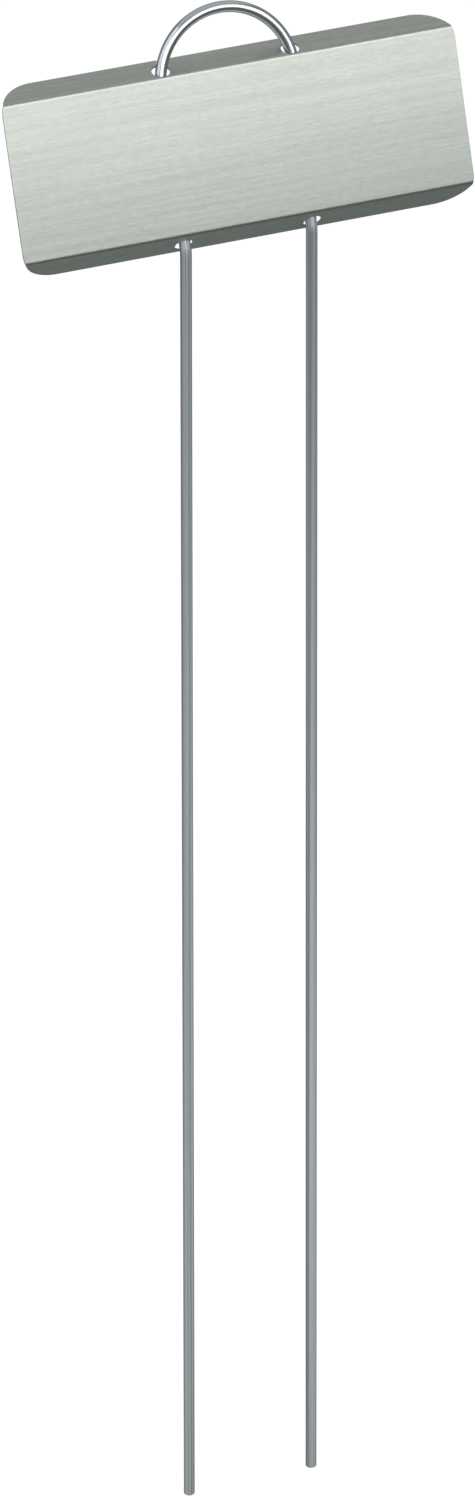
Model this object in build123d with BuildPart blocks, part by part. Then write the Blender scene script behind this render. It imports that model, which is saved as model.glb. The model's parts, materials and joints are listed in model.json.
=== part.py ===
"""A plant label stake: a folded zinc nameplate carried on one hairpin of galvanised wire.

Everything is in millimetres. X runs along the nameplate, Y goes from its face to its back and Z is up.
The origin lies midway between the two leg tips, so the legs stand on Z = 0 and rise, a little towards each
other, to the bends that carry the nameplate.
Above the legs the wire leans back, and that leaning part runs up through two holes in each flange of the
nameplate. The nameplate rests on the wire's lower bends. It can lift along the leaning wire until the
arch pinches its upper holes.
"""

from build123d import *
from math import asin, atan2, cos, degrees, hypot, radians, sin, tan
import os

# The sheet of the nameplate: a face that leans back, with a flange folded back along each long edge
plate_length = 88.9
face_height = 29.7
sheet_thickness = 0.4
plate_lean = 22.8
corner_radius = 7.4

# The flanges, whose widths are measured from the sharp outer corner of each fold
top_flange_width = 5.2
top_fold_angle = 56.7
top_fold_radius = 0.8
bottom_flange_width = 5.35
bottom_fold_angle = 54.5
bottom_fold_radius = 1.0

# The wire, its legs and the bend between each leg and the leaning part
wire_diameter = 2.2
leg_length = 283.2
lower_bend_radius = 4.5

# The holes that the wire runs through, and the metal between a lower hole and the flange's free edge
hole_spacing = 25.4
hole_clearance = 1.25
lower_hole_land = 0.45

# The wire is a little narrower than the holes' spacing on top of its legs and a little wider at its arch,
# and each leg spreads outward on its way down to its tip
leg_inset = 0.27
leg_spread = 0.6
arch_overhang = 0.37
arch_centre_below_fold = 2.3

# The play between the wire and the sheet in front of it, and between the wire's bends and the rear rims
# of the lower holes
front_play = 0.135
seat_play = 0.16

# How far a cutting shape runs past the metal
cut_overrun = 1.0

wire_radius = wire_diameter / 2
hole_radius = (wire_diameter + hole_clearance) / 2
half_length = plate_length / 2
leg_x = hole_spacing / 2 - leg_inset
tip_x = leg_x + leg_spread
arch_radius = hole_spacing / 2 + arch_overhang


def distance_to_line(start, way, line_point, line_normal):
    """How far to go from start, along way, to meet the line through line_point square to line_normal."""
    return (line_point - start).dot(line_normal) / way.dot(line_normal)


# The nameplate seen from its side. X goes straight back from the face, Y goes up the face, and the sharp
# outer corner of the lower fold is at the origin. A flange has a way out along it and a way into its sheet.
top_turn = radians(top_fold_angle)
top_outward = Vector(sin(top_turn), cos(top_turn))
top_inward = Vector(cos(top_turn), -sin(top_turn))
bottom_turn = radians(bottom_fold_angle)
bottom_outward = Vector(sin(bottom_turn), -cos(bottom_turn))
bottom_inward = Vector(cos(bottom_turn), sin(bottom_turn))
bottom_corner = Vector(0, 0)
top_corner = Vector(0, face_height)

# The front rim of a lower hole is in front of the leaning wire, and its rear rim is behind the bend
lower_hole_from_fold = bottom_flange_width - lower_hole_land - hole_radius
front_rim = bottom_outward * (lower_hole_from_fold - hole_radius) + bottom_inward * sheet_thickness
rear_rim = bottom_outward * (lower_hole_from_fold + hole_radius)

# The leaning wire has the same play behind the front rims as behind the face at its upper fold, so it
# runs parallel to the line through both. That makes it a little steeper than the face.
steeper_by = atan2(front_rim.X - sheet_thickness, face_height - front_rim.Y)
wire_upward = Vector(-sin(steeper_by), cos(steeper_by))
wire_backward = Vector(cos(steeper_by), sin(steeper_by))
wire_foot = front_rim + wire_backward * (wire_radius + front_play)
upper_hole_from_fold = distance_to_line(top_corner, top_outward, wire_foot, wire_backward)

# An upright leg passes in front of the rear rims, and it meets the leaning wire at the bend's sharp corner
lean = radians(plate_lean)
level_backward = Vector(cos(lean), sin(lean))
leg_point = rear_rim - level_backward * (wire_radius + seat_play)
bend_corner = wire_foot + wire_upward * distance_to_line(wire_foot, wire_upward, leg_point, level_backward)
arch_centre_height = (top_corner - bend_corner).dot(wire_upward) - arch_centre_below_fold

# The same side view in the stake's own frame, where the bends' sharp corners stand on top of the legs
side_view = Plane(origin=(0, 0, 0), x_dir=(0, cos(lean), -sin(lean)), z_dir=(1, 0, 0))
plate_origin = Vector(0, 0, leg_length) - side_view.from_local_coords(bend_corner)
plate_side = Plane(origin=plate_origin, x_dir=side_view.x_dir, z_dir=side_view.z_dir)
wire_tilt = lean - steeper_by
wire_plane = Plane(
    origin=(0, 0, leg_length),
    x_dir=(1, 0, 0),
    z_dir=(0, -cos(wire_tilt), sin(wire_tilt)),
)


# The wire stake: one length of round wire, with a bend on top of each leg and an arch over the nameplate.
# Its two leaning parts spread a little on their way up, and each runs straight into the arch.
reach = hypot(leg_x, arch_centre_height)
spread = asin(arch_radius / reach) - atan2(leg_x, arch_centre_height)
spring_x = arch_radius * cos(spread)
spring_y = arch_centre_height - arch_radius * sin(spread)
left_spring = wire_plane.from_local_coords(Vector(-spring_x, spring_y))
right_spring = wire_plane.from_local_coords(Vector(spring_x, spring_y))
crown = wire_plane.from_local_coords(Vector(0, arch_centre_height + arch_radius))
left_tip_plane = Plane(origin=(-tip_x, 0, 0), x_dir=(0, 1, 0), z_dir=(leg_spread, 0, leg_length))

with BuildPart() as wire_stake:
    with BuildLine() as centre_line:
        FilletPolyline(
            (-tip_x, 0, 0),
            (-leg_x, 0, leg_length),
            left_spring,
            radius=lower_bend_radius,
        )
        ThreePointArc(left_spring, crown, right_spring)
        FilletPolyline(
            right_spring,
            (leg_x, 0, leg_length),
            (tip_x, 0, 0),
            radius=lower_bend_radius,
        )
    with BuildSketch(left_tip_plane) as wire_section:
        Circle(wire_radius)
    sweep(sections=wire_section.sketch, path=centre_line.wire())
wire_stake.part.label = "wire_stake"


# The nameplate: one sheet whose rounded corners were cut before it was folded. Each corner's arc starts on
# a flange's free edge, crosses the fold and ends on the side of the face.
def corner_waste(plane, arc_y, low_y, high_y):
    """What lies outside the corner arcs, on a plane whose Y runs outward from a fold's sharp corner."""
    with BuildSketch(plane) as waste:
        for side in (-1, 1):
            with Locations((side * half_length, low_y)):
                Rectangle(2 * corner_radius, high_y - low_y, align=(Align.CENTER, Align.MIN))
            with Locations((side * (half_length - corner_radius), arc_y)):
                Circle(corner_radius, mode=Mode.SUBTRACT)
    return waste.sketch


def plane_outward(corner, outward):
    """A plane along the sheet's outer side, with its X along the fold and its Y on the way outward."""
    origin = plate_side.from_local_coords(corner)
    y_dir = plate_side.from_local_coords(corner + outward) - origin
    return Plane(origin=origin, x_dir=(1, 0, 0), z_dir=Vector(1, 0, 0).cross(y_dir))


top_end = top_corner + top_outward * top_flange_width
bottom_end = bottom_outward * bottom_flange_width
fold_radii = (bottom_fold_radius, top_fold_radius)
folds = (
    (top_corner, top_outward, Vector(0, 1), top_turn, top_fold_radius, top_flange_width,
     upper_hole_from_fold),
    (bottom_corner, bottom_outward, Vector(0, -1), bottom_turn, bottom_fold_radius, bottom_flange_width,
     lower_hole_from_fold),
)

with BuildPart() as nameplate:
    with BuildSketch(plate_side):
        with BuildLine():
            FilletPolyline(bottom_end, bottom_corner, top_corner, top_end, radius=fold_radii)
            FilletPolyline(
                bottom_end + bottom_inward * sheet_thickness,
                (sheet_thickness, sheet_thickness * tan(bottom_turn / 2)),
                (sheet_thickness, face_height - sheet_thickness * tan(top_turn / 2)),
                top_end + top_inward * sheet_thickness,
                radius=[fold_radius - sheet_thickness for fold_radius in fold_radii],
            )
            Line(bottom_end, bottom_end + bottom_inward * sheet_thickness)
            Line(top_end, top_end + top_inward * sheet_thickness)
        make_face()
    extrude(amount=half_length, both=True)

    for corner, outward, face_outward, turn, fold_radius, flange_width, hole_from_fold in folds:
        # The middle of the fold lies this far from the sharp corner, as seen square to either side of it
        fold_middle = fold_radius * tan(turn / 2) - (fold_radius - sheet_thickness / 2) * sin(turn / 2)
        flange_plane = plane_outward(corner, outward)
        face_plane = plane_outward(corner, face_outward)
        # One cut shapes the flange as far as the middle of the fold, and one goes on down the face
        flange_arc_y = flange_width - corner_radius
        first_y = max(fold_middle, flange_arc_y)
        flange_waste = corner_waste(flange_plane, flange_arc_y, first_y, flange_width + cut_overrun)
        extrude(flange_waste, amount=fold_radius, both=True, mode=Mode.SUBTRACT)
        face_arc_y = flange_arc_y - 2 * fold_middle
        if face_arc_y < 0:
            face_waste = corner_waste(face_plane, face_arc_y, face_arc_y, cut_overrun)
            extrude(face_waste, amount=fold_radius, both=True, mode=Mode.SUBTRACT)
        with BuildSketch(flange_plane):
            with Locations((-hole_spacing / 2, hole_from_fold), (hole_spacing / 2, hole_from_fold)):
                Circle(hole_radius)
        extrude(amount=fold_radius, both=True, mode=Mode.SUBTRACT)
nameplate.part.label = "nameplate"


os.makedirs("parts", exist_ok=True)
export_step(wire_stake.part, "parts/wire_stake.step")
export_step(nameplate.part, "parts/nameplate.step")
print("wire in the stake:", round(centre_line.wire().length, 1), "mm")
print("lean of the wire:", round(degrees(wire_tilt), 2), "degrees")
print("leg spacing:", round(2 * leg_x, 2), "mm on top,", round(2 * tip_x, 2), "mm at the tips")
print("arch centre above the bends:", round(arch_centre_height, 2), "mm")
print("hole centres from the folds:", round(upper_hole_from_fold, 3), round(lower_hole_from_fold, 3))
print("lower fold corner:", [round(value, 3) for value in plate_origin])
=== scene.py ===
# %% [markdown]
# # A plant label stake: folded zinc sheet on a wire hairpin
#
# The real object has two pieces. One is a small zinc plate whose long edges are folded back. The other is a
# single length of galvanised wire that is bent to a hairpin, runs up through four holes in the plate and
# closes over it in an arch. The CAD model already holds the true sizes and the way the plate moves. This
# lesson adds what the eye expects of the metal: rounded rims, soft folds, drawn and rolled surfaces and the
# right light.
#
# The frame comes first. It brings in the CAD solids, and every later piece is built around them in metres.

# %% The frame
import json
import math

import bmesh
import bpy
from mathutils import Matrix, Vector


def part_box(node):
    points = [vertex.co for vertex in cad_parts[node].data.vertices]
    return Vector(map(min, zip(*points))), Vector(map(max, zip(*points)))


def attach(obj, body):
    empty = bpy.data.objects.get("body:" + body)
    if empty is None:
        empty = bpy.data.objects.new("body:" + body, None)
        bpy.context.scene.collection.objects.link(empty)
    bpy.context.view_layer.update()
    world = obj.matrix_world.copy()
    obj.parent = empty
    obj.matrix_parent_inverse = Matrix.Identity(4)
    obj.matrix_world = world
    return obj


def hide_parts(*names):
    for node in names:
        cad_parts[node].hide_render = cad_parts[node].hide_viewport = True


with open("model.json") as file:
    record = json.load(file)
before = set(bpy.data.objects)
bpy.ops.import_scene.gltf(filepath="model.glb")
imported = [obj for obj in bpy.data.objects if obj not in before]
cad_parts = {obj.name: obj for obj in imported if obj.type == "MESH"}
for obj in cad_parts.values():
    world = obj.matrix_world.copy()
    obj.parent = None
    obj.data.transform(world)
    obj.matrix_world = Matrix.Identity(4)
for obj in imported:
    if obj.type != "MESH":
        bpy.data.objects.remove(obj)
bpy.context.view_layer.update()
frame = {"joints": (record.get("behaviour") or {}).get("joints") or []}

MM = 0.001

# %% [markdown]
# ## The camera
#
# A photograph is matched before any surface is made, because the view decides which details matter. The
# camera looks at the stake from the left and from above. Its place is given by two angles and a distance from
# the point where the wire bends, since those are the numbers that can be reasoned about. The long lens keeps
# the legs nearly parallel, as they are in the photograph.

# %% Where the camera stands
BEND = Vector((0, 0, 283.2)) * MM
LEFT_OF_FRONT = math.radians(20.72)
ABOVE = math.radians(32.04)
ROLL = math.radians(-0.105)
DISTANCE = 1806.3 * MM
BEND_RIGHT_OF_CENTRE = 2.115 * MM
BEND_OVER_CENTRE = 94.24 * MM
PICTURE_HEIGHT = 1500
LENS_IN_PIXELS = 9778
SENSOR = 36
FARTHEST_SEEN = 100

level_right = Vector((math.cos(LEFT_OF_FRONT), -math.sin(LEFT_OF_FRONT), 0))
forward = Vector((
    math.sin(LEFT_OF_FRONT) * math.cos(ABOVE),
    math.cos(LEFT_OF_FRONT) * math.cos(ABOVE),
    -math.sin(ABOVE),
))
level_up = level_right.cross(forward)
right = math.cos(ROLL) * level_right + math.sin(ROLL) * level_up
up = math.cos(ROLL) * level_up - math.sin(ROLL) * level_right
place = BEND - BEND_RIGHT_OF_CENTRE * right - BEND_OVER_CENTRE * up - DISTANCE * forward

camera = bpy.data.objects.new("camera", bpy.data.cameras.new("camera"))
bpy.context.scene.collection.objects.link(camera)
camera.matrix_world = Matrix.Translation(place) @ Matrix((right, up, -forward)).transposed().to_4x4()
camera.data.sensor_width = SENSOR
camera.data.lens = LENS_IN_PIXELS * SENSOR / PICTURE_HEIGHT
camera.data.clip_end = FARTHEST_SEEN
bpy.context.scene.camera = camera
print("lens:", round(camera.data.lens, 1), "mm, camera at", [round(v, 3) for v in place])

# %% [markdown]
# ## Writing node trees as Python
#
# A material or a Geometry Nodes tree is a network, and networks are hard to read when every link takes a
# line. The class below wraps one output socket. Adding or multiplying two of them adds the Math node that
# does it, so a formula can be written as a formula. A `Tree` makes every other node in one call: its type,
# its settings, then the values or links of its inputs.

# %% A socket that can be added and multiplied
class Socket:
    """An output socket of a node tree, with Python's arithmetic."""

    def __init__(self, tree, socket):
        self.tree, self.socket = tree, socket

    def __add__(self, other):
        return self.tree.math("ADD", self, other)

    def __sub__(self, other):
        return self.tree.math("SUBTRACT", self, other)

    def __rsub__(self, other):
        return self.tree.math("SUBTRACT", other, self)

    def __mul__(self, other):
        return self.tree.math("MULTIPLY", self, other)

    def __truediv__(self, other):
        return self.tree.math("DIVIDE", self, other)

    def __rtruediv__(self, other):
        return self.tree.math("DIVIDE", other, self)

    __radd__, __rmul__ = __add__, __mul__

    def within(self, low, high):
        """This value moved from low..high to 0..1 and kept there."""
        inputs = {"Value": self, "From Min": low, "From Max": high}
        return self.tree.node("ShaderNodeMapRange", {}, **inputs)["Result"]


print("a wrapped socket can be added, subtracted, multiplied and divided")


# %% Nodes that are made in one call
class Made:
    """What a node gives: its outputs, by name or by number."""

    def __init__(self, tree, item):
        self.tree, self.item = tree, item

    def __getitem__(self, key):
        outputs = [socket for socket in self.item.outputs if socket.enabled]
        names = [socket.name for socket in outputs]
        return Socket(self.tree, outputs[names.index(key) if isinstance(key, str) else key])


class Tree:
    """A node tree that is filled with one call per node."""

    def __init__(self, nodes_and_links):
        self.nodes, self.links = nodes_and_links.nodes, nodes_and_links.links

    def join(self, value, socket):
        if isinstance(value, Socket):
            self.links.new(value.socket, socket)
        else:
            socket.default_value = value

    def node(self, kind, settings, *values, **named):
        """A node of this kind. A setting that is a tuple holds what is added to a list of the node's."""
        item = self.nodes.new(kind)
        for key, value in settings.items():
            if isinstance(value, tuple):
                for each in value:
                    getattr(item, key).new(*each)
            else:
                setattr(item, key, value)
        sockets = [socket for socket in item.inputs if socket.enabled]
        for value, socket in zip(values, sockets):
            self.join(value, socket)
        for key, value in named.items():
            self.join(value, next(socket for socket in sockets if socket.name == key.replace("_", " ")))
        return Made(self, item)

    def math(self, operation, *values):
        return self.node("ShaderNodeMath", {"operation": operation}, *values)[0]

    def vector(self, operation, *values):
        return self.node("ShaderNodeVectorMath", {"operation": operation}, *values)[0]


print("node trees can now be written as formulas")

# %% [markdown]
# ## Geometry Nodes with named sizes
#
# Both pieces follow a rule. The plate is a flat blank that is folded along a line, and the wire is a round
# section that follows a path. Geometry Nodes are made for that: the rule is written once and its sizes are
# inputs with names. When the tree has run, its result is kept as a plain mesh and the modifier goes, so that
# nothing is left to change later.

# %% A tree with named sizes
SOCKET_KINDS = {
    float: "NodeSocketFloat",
    int: "NodeSocketInt",
    Vector: "NodeSocketVector",
    bpy.types.Material: "NodeSocketMaterial",
}


def sized_group(name, sizes):
    """A Geometry Nodes group with one input per size, as a Tree, and its group input."""
    group = bpy.data.node_groups.new(name, "GeometryNodeTree")
    group.interface.new_socket("Geometry", in_out="INPUT", socket_type="NodeSocketGeometry")
    for label, value in sizes.items():
        group.interface.new_socket(label, in_out="INPUT", socket_type=SOCKET_KINDS[type(value)])
    group.interface.new_socket("Geometry", in_out="OUTPUT", socket_type="NodeSocketGeometry")
    tree = Tree(group)
    return group, tree, tree.node("NodeGroupInput", {})


print("a size can be a", [kind.__name__ for kind in SOCKET_KINDS])


# %% Running a tree on an object
def run_group(group, piece, sizes):
    """Runs the group on the piece with these sizes and leaves a plain mesh in its place."""
    modifier = piece.modifiers.new(group.name, "NODES")
    modifier.node_group = group
    for socket in group.interface.items_tree:
        if socket.in_out == "INPUT" and socket.name in sizes:
            modifier[socket.identifier] = sizes[socket.name]
    graph = bpy.context.evaluated_depsgraph_get()
    made = bpy.data.meshes.new_from_object(piece.evaluated_get(graph), depsgraph=graph)
    piece.modifiers.clear()
    raw, piece.data = piece.data, made
    bpy.data.meshes.remove(raw)
    made.name = piece.name
    return made


def new_piece(name, mesh):
    piece = bpy.data.objects.new(name, mesh)
    bpy.context.scene.collection.objects.link(piece)
    return piece


print("a tree's result can now be kept as a plain mesh")


# %% Finishing a mesh and measuring it
def finish_mesh(mesh, crease):
    """Smooth shading with sharp edges where faces meet at more than crease, faces outward, and a count."""
    solid = bmesh.new()
    solid.from_mesh(mesh)
    bmesh.ops.recalc_face_normals(solid, faces=solid.faces)
    open_edges = sum(1 for edge in solid.edges if len(edge.link_faces) != 2)
    triangles = sum(len(face.verts) - 2 for face in solid.faces)
    volume = solid.calc_volume(signed=True)
    solid.to_mesh(mesh)
    solid.free()
    mesh.shade_smooth()
    mesh.set_sharp_from_angle(angle=crease)
    print(mesh.name, "triangles", triangles, "open edges", open_edges, "mm3", round(volume / MM**3, 1))


def print_margins(piece, box):
    """How far the piece lies inside this box of its CAD solid, at both ends of each axis."""
    low, high = box
    for axis, letter in enumerate("XYZ"):
        values = [vertex.co[axis] for vertex in piece.data.vertices]
        margins = (min(values) - low[axis], high[axis] - max(values))
        print(piece.name, letter, "is inside by", [round(margin / MM, 3) for margin in margins], "mm")


helpers = (run_group, new_piece, finish_mesh, print_margins)
print("helpers for a mesh:", [helper.__name__ for helper in helpers])

# %% [markdown]
# ## Zinc sheet
#
# The plate is rolled zinc that was never polished. Rolling leaves short fine lines along its length and
# longer, softer streaks, and lying about leaves faint clouds and patches that are a little warmer or cooler.
# A photographed texture would do, but noise needs no file and never repeats, so all four are noise with fewer
# features per metre along the plate than across it. They read object coordinates in metres. The lines darken
# the metal and blur it, and the short ones stand out by two thousandths of a millimetre. What makes it look
# like sheet zinc is the roughness: at about 0.33 it mirrors a lamp as an even glow and hides the lamp's edge.

# %% Helpers for a material
def empty_material(name):
    """A new material and its tree, without nodes."""
    made = bpy.data.materials.new(name)
    made.use_nodes = True
    made.node_tree.nodes.clear()
    return made, Tree(made.node_tree)


def metal(tree, **finish):
    """Ends the tree in a metallic shader with this colour, roughness and normal."""
    shader = tree.node("ShaderNodeBsdfPrincipled", {}, **finish)
    tree.node("ShaderNodeOutputMaterial", {}, Surface=shader["BSDF"])


def noise(tree, place, features, detail):
    """Noise between 0 and 1, with this many features per metre along each axis."""
    scaled = tree.vector("MULTIPLY", place, features)
    made = tree.node("ShaderNodeTexNoise", {"normalize": True}, Vector=scaled, Scale=1.0, Detail=detail)
    return made[0]


def blend_colours(tree, share, first, second):
    return tree.node("ShaderNodeMix", {"data_type": "RGBA"}, Factor=share, A=first, B=second)["Result"]


def bump(tree, height, depth):
    """A normal from a height between 0 and 1, where 1 stands depth metres over 0."""
    return tree.node("ShaderNodeBump", {}, Strength=1.0, Distance=depth, Height=height)["Normal"]


helpers = (empty_material, metal, noise, blend_colours, bump)
print("helpers for a material:", [helper.__name__ for helper in helpers])

# %% The zinc material
ZINC_WARM = (0.652, 0.67, 0.624, 1)
ZINC_COOL = (0.625, 0.672, 0.628, 1)
ZINC_DARK = (0.475, 0.498, 0.462, 1)
ROLLED = (600, 4200, 4200)
STREAKS = (14, 1500, 1500)
CLOUDS = (55, 90, 90)
PATCHES, PATCH_RANGE = (16, 45, 45), (0.35, 0.65)
ROLLED_SHARE = 0.55
LINE_RANGE = (0.3, 0.7)
ZINC_ROUGHNESS, LINE_BLUR, CLOUD_BLUR = 0.27, 0.06, 0.06
LINE_HEIGHT = 0.002 * MM

zinc, tree = empty_material("zinc sheet")
place = tree.node("ShaderNodeTexCoord", {})["Object"]
rolled = noise(tree, place, ROLLED, detail=3.0)
streaks = noise(tree, place, STREAKS, detail=3.0)
clouds = noise(tree, place, CLOUDS, detail=2.0)
patches = noise(tree, place, PATCHES, detail=1.0).within(*PATCH_RANGE)
lines = rolled * ROLLED_SHARE + streaks * (1 - ROLLED_SHARE)
clean = blend_colours(tree, patches, ZINC_COOL, ZINC_WARM)
metal(
    tree,
    Base_Color=blend_colours(tree, lines.within(*LINE_RANGE), ZINC_DARK, clean),
    Metallic=1.0,
    Roughness=ZINC_ROUGHNESS + lines * LINE_BLUR + clouds * CLOUD_BLUR,
    Normal=bump(tree, rolled, LINE_HEIGHT),
)
print("zinc nodes:", len(zinc.node_tree.nodes))

# %% [markdown]
# ## Galvanised wire
#
# The wire's colour has long light and dark stripes along its length, on a bright, slightly blue surface.
# Those stripes follow the wire round its bends. Object coordinates can't do that, so the wire's mesh will
# carry an
# attribute of its own: where a point lies in the round section, and how far along the wire it is. There is no
# seam in it, because the section's two coordinates come back to where they began.
#
# The arch is nearly as smooth as a mirror, and the legs are dull. The arch's colour is also painted lighter,
# a painted highlight that widens the light it mirrors. The attribute's length tells the two apart: the change
# runs between two distances from the nearer tip, both of them behind the plate. A dull coat scatters light
# where bare metal mirrors it, so the legs are also less metallic, most of all at the tips.

# %% The wire material
STEEL = (0.86, 0.912, 0.955, 1)
STEEL_DARK = (0.40, 0.435, 0.457, 1)
WAY = "wire_way"
WIRE_LENGTH = 668.6 * MM
DULL_TO, BRIGHT_FROM = 285 * MM, 312 * MM
STRIPES, STRIPE_RANGE = (1900, 1900, 2.5), (0.43, 0.57)
FINE = (6000, 6000, 25)
SPOTS = (300, 300, 45)
STRIPE_SHARE = 0.8
# What is called lost or gained changes on the way from the dull legs to the smooth arch, and so does the
# painted highlight that lightens the arch's colour
MARKS_LOST, ARCH_PAINTED_HIGHLIGHT = 0.85, 0.55
LEG_ROUGHNESS, ROUGHNESS_LOST, SPOT_BLUR = 0.38, 0.28, 0.06
TIP_METALLIC, METALLIC_UP_LEG, METALLIC_GAINED = 0.2, 0.4, 0.4
MARK_HEIGHT = 0.006 * MM

steel, tree = empty_material("galvanised wire")
way = tree.node("ShaderNodeAttribute", {"attribute_name": WAY})["Vector"]
length = tree.node("ShaderNodeSeparateXYZ", {}, way)["Z"]
from_tip = tree.math("MINIMUM", length, WIRE_LENGTH - length)
up_leg = from_tip.within(0.0, DULL_TO)
arch_finish_and_painted_highlight = from_tip.within(DULL_TO, BRIGHT_FROM)
# Long light and dark stripes in the colour, a few round the section, running the wire's whole length
stripes = noise(tree, way, STRIPES, detail=1.0).within(*STRIPE_RANGE)
fine = noise(tree, way, FINE, detail=2.0)
spots = noise(tree, way, SPOTS, detail=2.0)
stripes_and_fine_marks = (stripes * STRIPE_SHARE + fine * (1 - STRIPE_SHARE)) * (1.0 - arch_finish_and_painted_highlight * MARKS_LOST)
metal(
    tree,
    # The arch's colour is painted lighter, a painted highlight that widens the light it mirrors
    Base_Color=blend_colours(tree, stripes_and_fine_marks + arch_finish_and_painted_highlight * ARCH_PAINTED_HIGHLIGHT, STEEL_DARK, STEEL),
    Metallic=TIP_METALLIC + up_leg * METALLIC_UP_LEG + arch_finish_and_painted_highlight * METALLIC_GAINED,
    Roughness=LEG_ROUGHNESS - arch_finish_and_painted_highlight * ROUGHNESS_LOST + spots * SPOT_BLUR,
    Normal=bump(tree, stripes_and_fine_marks, MARK_HEIGHT),
)
print("wire nodes:", len(steel.node_tree.nodes))

# %% [markdown]
# ## The nameplate's blank
#
# A folded plate starts as a flat blank: a strip with rounded corners and four punched holes. Modelling the
# blank flat is the easy way to get its edges right, since every rim can be rounded before the sheet is bent.
# The blank's Y runs along the side view of the finished plate, from the lower flange's free edge to the upper
# one's. Cuts across it mark where each fold starts, turns and ends, because a mesh can only bend where it has
# vertices.

# %% The blank's sizes
# The width of a flange and the place of its holes are measured from the sharp corner in which its outer side
# would meet the face. For the lower flange that corner's place comes from the CAD model.
PLATE_LENGTH = 88.9 * MM
FACE_HEIGHT = 29.7 * MM
SHEET = 0.4 * MM
LEAN = math.radians(22.8)
CORNER_RADIUS = 7.4 * MM
RIM_RADIUS = 0.07 * MM
HOLE_RADIUS = 1.725 * MM
HOLE_SPACING = 25.4 * MM
FOLD_STEPS = 12
LOWER = {"width": 5.35 * MM, "turn": math.radians(54.5), "radius": 1.0 * MM, "hole": 3.175 * MM}
UPPER = {"width": 5.2 * MM, "turn": math.radians(56.7), "radius": 0.8 * MM, "hole": 1.915 * MM}
LOWER_CORNER = Vector((0, -1.315, 287.131)) * MM

for fold in (LOWER, UPPER):
    # A fold takes up this much of the sheet on both sides of its sharp corner, and a step of it is this long
    fold["reach"] = fold["radius"] * math.tan(fold["turn"] / 2)
    fold["step"] = 2 * fold["radius"] * math.sin(fold["turn"] / 2 / FOLD_STEPS)

lower_fold_at = LOWER["width"] - LOWER["reach"]
face_from = lower_fold_at + FOLD_STEPS * LOWER["step"]
upper_fold_at = face_from + FACE_HEIGHT - LOWER["reach"] - UPPER["reach"]
flange_from = upper_fold_at + FOLD_STEPS * UPPER["step"]
BLANK_WIDTH = flange_from + UPPER["width"] - UPPER["reach"]
lower_holes_at = LOWER["width"] - LOWER["hole"]
upper_holes_at = flange_from - UPPER["reach"] + UPPER["hole"]
print("blank:", round(PLATE_LENGTH / MM, 2), "by", round(BLANK_WIDTH / MM, 2), "mm")

# %% The outline and the holes
CORNER_STEPS = 20
HOLE_STEPS = 56
QUARTER = math.tau / 4


def ring(bm, points):
    """A closed run of edges through these points."""
    verts = [bm.verts.new((x, y, 0)) for x, y in points]
    return [bm.edges.new((verts[i - 1], verts[i])) for i in range(len(verts))]


def arc(centre_x, centre_y, radius, start, steps, share):
    """Points on a circle, from an angle on, over this share of a full turn."""
    turns = [start + share * math.tau * i / steps for i in range(steps + (share < 1))]
    return [(centre_x + radius * math.cos(turn), centre_y + radius * math.sin(turn)) for turn in turns]


blank = bmesh.new()
end_x = PLATE_LENGTH / 2 - CORNER_RADIUS
low_y, high_y = CORNER_RADIUS, BLANK_WIDTH - CORNER_RADIUS
corner_centres = [(end_x, high_y), (-end_x, high_y), (-end_x, low_y), (end_x, low_y)]
outline = [
    point
    for number, (x, y) in enumerate(corner_centres)
    for point in arc(x, y, CORNER_RADIUS, start=number * QUARTER, steps=CORNER_STEPS, share=1 / 4)
]
edges = ring(blank, outline)
for side in (-1, 1):
    for holes_at in (lower_holes_at, upper_holes_at):
        hole = arc(side * HOLE_SPACING / 2, holes_at, HOLE_RADIUS, start=0, steps=HOLE_STEPS, share=1)
        edges += ring(blank, hole)
bmesh.ops.triangle_fill(blank, edges=edges, use_beauty=True, normal=(0, 0, -1))
print("triangles in the punched blank:", len(blank.faces))

# %% Cuts across the folds
SUPPORT = 0.25 * MM
ON_THE_CUT = 1e-8

lower_steps = [lower_fold_at + LOWER["step"] * i for i in range(FOLD_STEPS + 1)]
upper_steps = [upper_fold_at + UPPER["step"] * i for i in range(FOLD_STEPS + 1)]
supports = [lower_fold_at - SUPPORT, face_from + SUPPORT, upper_fold_at - SUPPORT, flange_from + SUPPORT]
for cut_y in lower_steps + upper_steps + supports:
    parts = blank.verts[:] + blank.edges[:] + blank.faces[:]
    bmesh.ops.bisect_plane(blank, geom=parts, dist=ON_THE_CUT, plane_co=(0, cut_y, 0), plane_no=(0, 1, 0))
print("faces after", len(lower_steps + upper_steps + supports), "cuts:", len(blank.faces))

# %% Thickness and rounded rims
RIM_ANGLE = 1
RIM_STEPS = 3

back = bmesh.ops.extrude_face_region(blank, geom=blank.faces[:])
back_verts = [item for item in back["geom"] if isinstance(item, bmesh.types.BMVert)]
bmesh.ops.translate(blank, verts=back_verts, vec=(0, 0, SHEET))
bmesh.ops.recalc_face_normals(blank, faces=blank.faces)
rims = [edge for edge in blank.edges if len(edge.link_faces) == 2 and edge.calc_face_angle() > RIM_ANGLE]
bmesh.ops.bevel(blank, geom=rims, offset=RIM_RADIUS, segments=RIM_STEPS, profile=0.5, affect="EDGES")
nameplate = new_piece("folded_nameplate", bpy.data.meshes.new("folded_nameplate"))
blank.to_mesh(nameplate.data)
blank.free()
print("blank faces:", len(nameplate.data.polygons), "rim edges rounded:", len(rims))

# %% [markdown]
# ## Folding the blank
#
# The side view of the plate is a line with two rounded corners: flange, face, flange. The tree draws that
# line from its four corner points, rounds the two folds, and then sends every vertex of the blank to the
# place on the line that is as far along as the vertex is up the blank. A vertex on the back of the sheet is
# set in by the sheet's thickness, square to the line. That is what a press does to a real blank, and the
# holes and rims come along by themselves.

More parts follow.
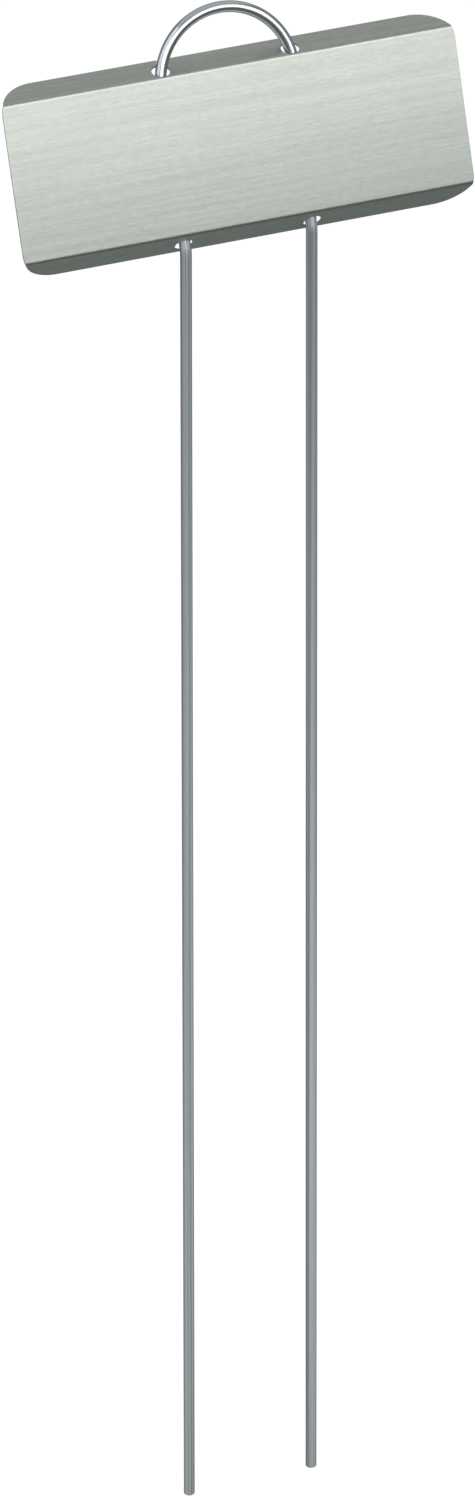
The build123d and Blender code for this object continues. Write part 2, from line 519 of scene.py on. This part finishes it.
# %% The plate's side view
face_up = Vector((0, math.sin(LEAN), math.cos(LEAN)))
face_in = Vector((0, math.cos(LEAN), -math.sin(LEAN)))
upper_corner = LOWER_CORNER + FACE_HEIGHT * face_up
lower_way = math.sin(LOWER["turn"]) * face_in - math.cos(LOWER["turn"]) * face_up
upper_way = math.sin(UPPER["turn"]) * face_in + math.cos(UPPER["turn"]) * face_up
fold_sizes = {
    "Lower free edge": LOWER_CORNER + LOWER["width"] * lower_way,
    "Lower fold": LOWER_CORNER,
    "Upper fold": upper_corner,
    "Upper free edge": upper_corner + UPPER["width"] * upper_way,
    "Lower fold radius": LOWER["radius"],
    "Upper fold radius": UPPER["radius"],
    "Steps in a fold": FOLD_STEPS,
    "Metal": zinc,
}
print("the tree folds along", len(fold_sizes), "sizes:", list(fold_sizes))

# %% The line, drawn by the tree
# An index switch is made with two items. It needs one for each corner of the line.
CORNERS = 4
more_items = ((),) * (CORNERS - 2)
group, tree, size = sized_group("fold along a line", fold_sizes)
number = tree.node("GeometryNodeInputIndex", {})[0]
corners = tree.node(
    "GeometryNodeIndexSwitch", {"data_type": "VECTOR", "index_switch_items": more_items}, number,
    size["Lower free edge"], size["Lower fold"], size["Upper fold"], size["Upper free edge"],
)[0]
radii = tree.node(
    "GeometryNodeIndexSwitch", {"data_type": "FLOAT", "index_switch_items": more_items}, number,
    0.0, size["Lower fold radius"], size["Upper fold radius"], 0.0,
)[0]
line = tree.node("GeometryNodeMeshLine", {}, Count=CORNERS)[0]
line = tree.node("GeometryNodeMeshToCurve", {}, line)[0]
line = tree.node("GeometryNodeSetPosition", {}, line, Position=corners)[0]
line = tree.node("GeometryNodeFilletCurve", {"mode": "POLY"}, line, size["Steps in a fold"], radii, False)[0]
print("nodes that draw the line:", len(group.nodes))

# %% The blank, sent to the line
SHEET_CREASE = math.radians(14)

here = tree.node("ShaderNodeSeparateXYZ", {}, tree.node("GeometryNodeInputPosition", {})[0])
on_line = tree.node("GeometryNodeSampleCurve", {"mode": "LENGTH"}, line, Length=here["Y"])
inward = tree.vector("CROSS_PRODUCT", on_line["Tangent"], Vector((1, 0, 0)))
depth = tree.node("ShaderNodeCombineXYZ", {}, here["Z"], here["Z"], here["Z"])[0]
along = tree.node("ShaderNodeCombineXYZ", {}, here["X"], 0.0, 0.0)[0]
outer_side = tree.vector("ADD", on_line["Position"], along)
folded = tree.vector("ADD", outer_side, tree.vector("MULTIPLY", inward, depth))
sheet = tree.node("GeometryNodeSetPosition", {}, size["Geometry"], Position=folded)[0]
sheet = tree.node("GeometryNodeRealizeInstances", {}, sheet)[0]
sheet = tree.node("GeometryNodeSetMaterial", {}, sheet, Material=size["Metal"])[0]
tree.node("NodeGroupOutput", {}, sheet)

finish_mesh(run_group(group, nameplate, fold_sizes), SHEET_CREASE)
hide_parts("nameplate")
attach(nameplate, "nameplate")
print_margins(nameplate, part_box("nameplate"))

# %% [markdown]
# ## The wire's path
#
# The wire is one round section that follows one path: up a leg, round a bend, up behind the plate, over the
# arch and down again. Six corner points and two bending radii say all of it. The arch needs no points of its
# own. Two corners above it, each rounded with the arch's radius, meet exactly at its top, and the two
# vertices there are merged. Two more points just inside the tips let the section narrow a little where the
# cutter left a blunt edge. The wire is the same on both sides, so one side is worked out and mirrored.

# %% The wire's sizes
LEG_X = 12.43 * MM
TIP_X = 13.03 * MM
WIRE_RADIUS = 1.1 * MM
BEND_RADIUS = 4.5 * MM
ARCH_RADIUS = 13.07 * MM
ARCH_CENTRE_UP = 30.588 * MM
TIP_LENGTH = 0.12 * MM
TIP_NARROWING = 0.1
BEND_STEPS = 40
SIDES = 48

wire_up = Vector(frame["joints"][0]["axis"])
reach = math.hypot(LEG_X, ARCH_CENTRE_UP)
spread = math.asin(ARCH_RADIUS / reach) - math.atan2(LEG_X, ARCH_CENTRE_UP)
arch_top = ARCH_CENTRE_UP + ARCH_RADIUS
shoulder = LEG_X + arch_top * math.tan(spread)
tip = Vector((TIP_X, 0, 0))
bend = Vector((LEG_X, 0, 0)) + BEND
near_tip = tip + (bend - tip).normalized() * TIP_LENGTH
arch_corner = BEND + arch_top * wire_up + Vector((shoulder, 0, 0))
print("arch top in mm:", round((BEND + arch_top * wire_up).z / MM + WIRE_RADIUS / MM, 2))

# %% The path, drawn by the tree
MIRROR = Vector((-1, 1, 1))
SAME_POINT = 0.01 * MM

right_side = {"Tip": tip, "Near the tip": near_tip, "Bend": bend, "Arch corner": arch_corner}
wire_sizes = {
    **right_side,
    "Bend radius": BEND_RADIUS,
    "Arch radius": ARCH_RADIUS,
    "Wire radius": WIRE_RADIUS,
    "Tip length": TIP_LENGTH,
    "Tip narrowing": TIP_NARROWING,
    "Steps in a bend": BEND_STEPS,
    "Sides": SIDES,
    "Metal": steel,
}
group, tree, size = sized_group("bend a wire", wire_sizes)
number = tree.node("GeometryNodeInputIndex", {})[0]
up_one_side = [size[name] for name in right_side]
down_the_other = [tree.vector("MULTIPLY", point, MIRROR) for point in reversed(up_one_side)]
up_radii = [0.0, 0.0, size["Bend radius"], size["Arch radius"]]
points = 2 * len(right_side)
more_items = ((),) * (points - 2)
corners = tree.node(
    "GeometryNodeIndexSwitch", {"data_type": "VECTOR", "index_switch_items": more_items}, number,
    *up_one_side, *down_the_other,
)[0]
radii = tree.node(
    "GeometryNodeIndexSwitch", {"data_type": "FLOAT", "index_switch_items": more_items}, number,
    *up_radii, *reversed(up_radii),
)[0]
path = tree.node("GeometryNodeMeshLine", {}, Count=points)[0]
path = tree.node("GeometryNodeMeshToCurve", {}, path)[0]
path = tree.node("GeometryNodeSetPosition", {}, path, Position=corners)[0]
path = tree.node("GeometryNodeFilletCurve", {"mode": "POLY"}, path, size["Steps in a bend"], radii, False)[0]
path = tree.node("GeometryNodeCurveToMesh", {}, path)[0]
path = tree.node("GeometryNodeMergeByDistance", {}, path, Distance=SAME_POINT)[0]
path = tree.node("GeometryNodeMeshToCurve", {}, path)[0]
print("nodes that draw the path:", len(group.nodes))

# %% The section that follows the path
length = tree.node("GeometryNodeSplineParameter", {})["Length"]
captured = {"capture_items": (("FLOAT", "Length"),)}
path = tree.node("GeometryNodeCaptureAttribute", captured, path, length)
whole = tree.node("GeometryNodeSplineLength", {})["Length"]
from_tip = tree.math("MINIMUM", length, whole - length)
past_tip = tree.math("MINIMUM", from_tip / size["Tip length"], 1.0)
blunt = 1.0 - size["Tip narrowing"] * (1.0 - past_tip)
section = tree.node("GeometryNodeCurvePrimitiveCircle", {}, size["Sides"], size["Wire radius"])[0]
captured = {"capture_items": (("VECTOR", "Place"),)}
here = tree.node("GeometryNodeInputPosition", {})[0]
section = tree.node("GeometryNodeCaptureAttribute", captured, section, here)
tube = tree.node("GeometryNodeCurveToMesh", {}, path[0], section[0], blunt, True)[0]
around = tree.node("ShaderNodeSeparateXYZ", {}, section[1])
way = tree.node("ShaderNodeCombineXYZ", {}, around["X"], around["Y"], path[1])[0]
stored = {"data_type": "FLOAT_VECTOR"}
tube = tree.node("GeometryNodeStoreNamedAttribute", stored, tube, Name=WAY, Value=way)[0]
tube = tree.node("GeometryNodeRealizeInstances", {}, tube)[0]
tube = tree.node("GeometryNodeSetMaterial", {}, tube, Material=size["Metal"])[0]
tree.node("NodeGroupOutput", {}, tube)
print("nodes that bend the wire:", len(group.nodes))

# %% The bent wire
WIRE_CREASE = math.radians(35)

wire = new_piece("bent_wire", bpy.data.meshes.new("bent_wire"))
finish_mesh(run_group(group, wire, wire_sizes), WIRE_CREASE)
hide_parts("wire_stake")
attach(wire, "stake")
print_margins(wire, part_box("wire_stake"))

# %% [markdown]
# ## Floor and background
#
# Metal has hardly any colour of its own: it shows its surroundings. In the photograph these are dark,
# although the background is plain white. So the floor is a matt pale sheet that the lamps light normally, and
# the camera alone sees it lifted to white by a little added emission. Added, and not mixed, because the floor
# then keeps the object's shadow. The world is a dim grey room in the same way. Mirrored rays get a small
# share of the same white from both, so that the metal knows the background too.

# %% The floor
WHITE = (1, 1, 1, 1)
FLOOR_SIDE = 8
FLOOR_DROP = 0.05 * MM
FLOOR_COLOUR = (0.31, 0.335, 0.32, 1)
LIFT = 0.93
MIRRORED_SHARE = 0.05


def white_share(tree):
    """How much of the white a ray sees: all of it from the camera, and a little of it off a mirror."""
    ray = tree.node("ShaderNodeLightPath", {})
    mirrored = tree.math("MAXIMUM", ray["Is Glossy Ray"], ray["Is Transmission Ray"])
    return ray["Is Camera Ray"] + mirrored * MIRRORED_SHARE


pale, tree = empty_material("pale floor")
matt = tree.node("ShaderNodeBsdfDiffuse", {}, Color=FLOOR_COLOUR)[0]
glow = tree.node("ShaderNodeEmission", {}, Color=WHITE, Strength=LIFT)[0]
lifted = tree.node("ShaderNodeAddShader", {}, matt, glow)[0]
seen = tree.node("ShaderNodeMixShader", {}, white_share(tree), matt, lifted)[0]
tree.node("ShaderNodeOutputMaterial", {}, seen)

corner = FLOOR_SIDE / 2
floor_mesh = bpy.data.meshes.new("floor")
floor_corners = [(-corner, -corner), (corner, -corner), (corner, corner), (-corner, corner)]
floor_mesh.from_pydata([(x, y, -FLOOR_DROP) for x, y in floor_corners], [], [(0, 1, 2, 3)])
floor_mesh.materials.append(pale)
floor = new_piece("floor", floor_mesh)
print("floor side:", FLOOR_SIDE, "m")

# %% The room
ROOM = (0.19, 0.203, 0.198, 1)

world = bpy.data.worlds.new("room")
bpy.context.scene.world = world
world.use_nodes = True
world.node_tree.nodes.clear()
tree = Tree(world.node_tree)
room = tree.node("ShaderNodeBackground", {}, Color=ROOM, Strength=1.0)[0]
white = tree.node("ShaderNodeBackground", {}, Color=WHITE, Strength=1.0)[0]
seen = tree.node("ShaderNodeMixShader", {}, white_share(tree), room, white)[0]
tree.node("ShaderNodeOutputWorld", {}, seen)
print("room nodes:", len(world.node_tree.nodes))

# %% [markdown]
# ## The lamps
#
# A matt metal mirrors a lamp as a soft glow, so each lamp stands where one side of the metal would mirror it.
# The front softbox is close to the plate, and the face grows darker downwards because the lamp's lower edge
# is near. The top softbox, high and behind, gives the upper flange its even grey. The left softbox brightens
# the arch's left side, and the rear softbox, which is low, lights the back. The legs are dull, so they need a
# lamp that shines on them and not one that they mirror. That is the low fill, which stands near the floor and
# is hidden from mirrored rays, so that no metal shows it as a bright spot.
#
# Blender asks for a lamp's power in watts. What counts in a mirror is how bright each point of the lamp is,
# where 1 is white. The function takes that, and works out the power from it and the lamp's area.

# %% The lamps
LEGS = Vector((0, 0, 50)) * MM


def soft_lamp(name, aim, toward, above, distance, width, height, glow):
    """A rectangular lamp that faces aim from this many degrees right of the front and above level."""
    lamp = bpy.data.objects.new(name, bpy.data.lights.new(name, "AREA"))
    bpy.context.scene.collection.objects.link(lamp)
    side, lift = math.radians(toward), math.radians(above)
    way = Vector((math.sin(side) * math.cos(lift), -math.cos(side) * math.cos(lift), math.sin(lift)))
    lamp.data.shape = "RECTANGLE"
    lamp.data.size, lamp.data.size_y = width, height
    lamp.data.energy = glow * math.pi * width * height
    lamp.location = aim + way * distance
    lamp.rotation_mode = "QUATERNION"
    lamp.rotation_quaternion = way.to_track_quat("Z", "Y")
    lamp.visible_camera = False
    print(name, "at", [round(v, 3) for v in lamp.location], "with", round(lamp.data.energy, 3), "W")
    return lamp


soft_lamp("front softbox", BEND, toward=12, above=38.5, distance=0.23, width=0.40, height=0.18, glow=1.48)
soft_lamp("top softbox", BEND, toward=160, above=70, distance=0.45, width=0.6, height=0.8, glow=0.22)
soft_lamp("left softbox", BEND, toward=-76, above=34, distance=0.5, width=0.5, height=0.6, glow=0.66)
soft_lamp("rear softbox", BEND, toward=175, above=-14, distance=0.42, width=0.5, height=0.2, glow=0.9)
low_fill = soft_lamp("low fill", LEGS, toward=2, above=10, distance=0.2, width=0.18, height=0.06, glow=3.6)
low_fill.visible_glossy = False

# %% The view and the sizes
scene = bpy.context.scene
scene.view_settings.view_transform = "Standard"
